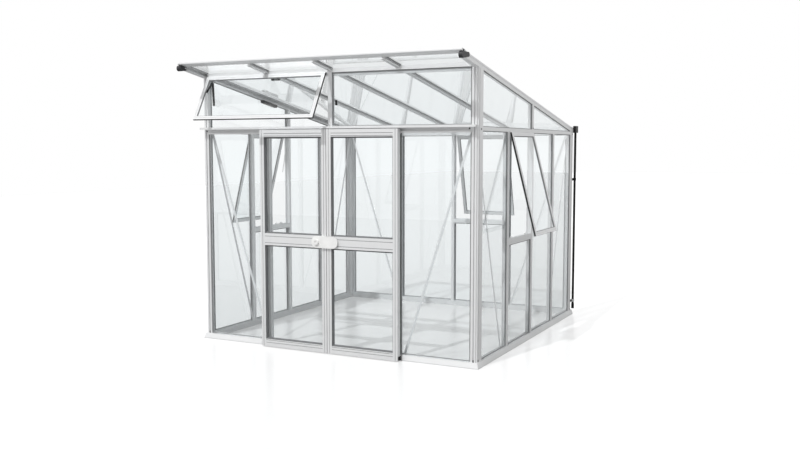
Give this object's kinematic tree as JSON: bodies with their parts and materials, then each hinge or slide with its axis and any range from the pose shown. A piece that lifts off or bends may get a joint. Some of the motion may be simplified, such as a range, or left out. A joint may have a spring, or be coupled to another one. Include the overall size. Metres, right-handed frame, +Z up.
{
  "type": "greenhouse",
  "caption": "Free-standing mono-pitch glass greenhouse on aluminium profiles, with sliding double doors, open vents and a rear gutter with a downpipe.",
  "frame": {"origin": "on the ground at the middle of the doorway, in the outer plane of the front wall, on the underside of the front sill", "axes": "+X along the front wall to the right as seen from outside, +Y from the front wall to the back wall, +Z up"},
  "size_m": [3.0334, 3.1287, 2.3853],
  "materials": {
    "silver_aluminium": "satin anodised or powder-coated, pale silver",
    "clear_glass": "clear, glossy, faint blue-grey tint",
    "dark_grey_plastic": "matt dark grey moulded end caps",
    "black_plastic": "satin black",
    "white_plastic": "glossy white moulding",
    "roller_nylon": "dark nylon"
  },
  "bodies": {
    "root": {"back_eaves_beam": "silver_aluminium", "back_glass": "clear_glass", "back_sash": "silver_aluminium", "base_back": "silver_aluminium", "base_front": "silver_aluminium", "base_sides": "silver_aluminium", "clerestory_mullion": "silver_aluminium", "clerestory_sash": "silver_aluminium", "corner_post_back_left": "silver_aluminium", "corner_post_back_right": "silver_aluminium", "corner_post_front_left": "silver_aluminium", "corner_post_front_right": "silver_aluminium", "door_posts": "silver_aluminium", "downpipe": "black_plastic", "front_glass": "clear_glass", "front_rail_caps": "dark_grey_plastic", "front_top_beam": "silver_aluminium", "front_transom": "silver_aluminium", "gable_bars": "silver_aluminium", "gable_glass": "clear_glass", "gutter_caps": "black_plastic", "left_glass": "clear_glass", "left_sash": "silver_aluminium", "rake_left": "silver_aluminium", "rake_right": "silver_aluminium", "rear_gutter": "silver_aluminium", "right_glass": "clear_glass", "right_sash": "silver_aluminium", "roof_bars": "silver_aluminium", "roof_front_rail": "silver_aluminium", "roof_glass": "clear_glass", "sash_glass": "clear_glass", "side_transom_left": "silver_aluminium", "side_transom_right": "silver_aluminium", "wall_bars_back": "silver_aluminium", "wall_bars_left": "silver_aluminium", "wall_bars_right": "silver_aluminium", "wind_braces": "silver_aluminium", "window_sill_rails": "silver_aluminium"},
    "door_left": {"door_left_frame": "silver_aluminium", "door_left_glass": "clear_glass", "door_left_handle": "white_plastic", "door_left_rollers": "roller_nylon"},
    "door_right": {"door_right_frame": "silver_aluminium", "door_right_glass": "clear_glass", "door_right_handle": "white_plastic", "door_right_rollers": "roller_nylon"}
  },
  "joints": [
    {"name": "door_left_slide", "type": "slide", "parent": "root", "child": "door_left", "axis": [-1, 0, 0], "range_m": [0, 0.62]},
    {"name": "door_right_slide", "type": "slide", "parent": "root", "child": "door_right", "axis": [1, 0, 0], "range_m": [0, 0.62]}
  ]
}
